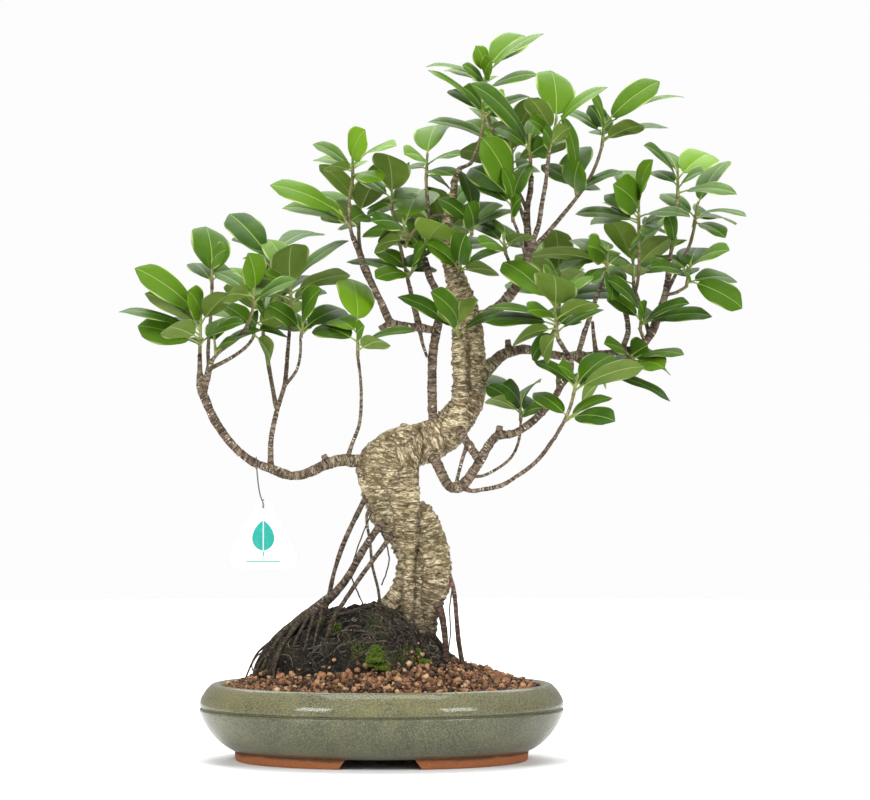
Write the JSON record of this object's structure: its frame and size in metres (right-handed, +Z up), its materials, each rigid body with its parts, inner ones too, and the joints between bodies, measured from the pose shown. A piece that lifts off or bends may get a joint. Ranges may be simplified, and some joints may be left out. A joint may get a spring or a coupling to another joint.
{
  "type": "bonsai tree in a pot",
  "caption": "Fig bonsai with an S-curved trunk, exposed aerial roots and glossy leaves, in a glazed oval pot with gravel and a hanging plant tag.",
  "frame": {"origin": "under the middle of the whole plant's outer box, on the surface that the pot's feet stand on; the middle of the pot is 48 mm to -X and 7.4 mm to -Y of it", "axes": "+Z up, +X to the right of the tree's front, +Y to its back"},
  "size_m": [0.564, 0.2648, 0.658],
  "materials": {
    "glaze": "gloss",
    "drain_plastic": "matte",
    "soil": "matte",
    "gravel": "matte",
    "moss": "matte",
    "bark": "matte",
    "leaf": "satin",
    "tag_plastic": "satin",
    "wire": "satin"
  },
  "bodies": {
    "root": {"branch_left": "bark", "branch_right_back": "bark", "branch_top": "bark", "branch_upper_left": "bark", "drain_mesh_left": "drain_plastic", "drain_mesh_right": "drain_plastic", "gravel": "gravel", "limb_right_low": "bark", "moss_left": "moss", "moss_right": "moss", "pot": "glaze", "potting_soil": "soil", "root_ball": "soil", "root_left_fine": "bark", "root_left_inner": "bark", "root_left_main": "bark", "root_left_outer": "bark", "root_right_inner": "bark", "root_right_outer": "bark", "second_stem": "bark", "tag": "tag_plastic", "tag_wire": "wire", "trunk": "bark", "spray_left_tip": "leaf", "spray_left_upper": "leaf", "spray_left_middle": "leaf", "spray_left_inner": "leaf", "spray_left_crown": "leaf", "spray_left_fork": "leaf", "spray_inner": "leaf", "spray_upper_left": "leaf", "spray_upper_middle": "leaf", "spray_lateral": "leaf", "spray_second_stem": "leaf", "spray_trunk_upper": "leaf", "spray_trunk_front": "leaf", "spray_trunk_right": "leaf", "spray_top": "leaf", "spray_trunk_top": "leaf", "spray_high_middle": "leaf", "spray_high_front": "leaf", "spray_high_right": "leaf", "spray_top_inner": "leaf", "spray_middle": "leaf", "spray_front": "leaf", "spray_low_middle": "leaf", "spray_low_right": "leaf", "spray_hooked": "leaf", "spray_low_back": "leaf", "spray_right_low": "leaf", "spray_right_inner": "leaf", "spray_right_middle": "leaf", "spray_right_top": "leaf", "spray_right_outer": "leaf", "spray_back_left": "leaf", "spray_back_upper": "leaf", "spray_back_middle": "leaf", "spray_back_top": "leaf", "spray_back_low": "leaf", "spray_back_right": "leaf"}
  },
  "joints": []
}
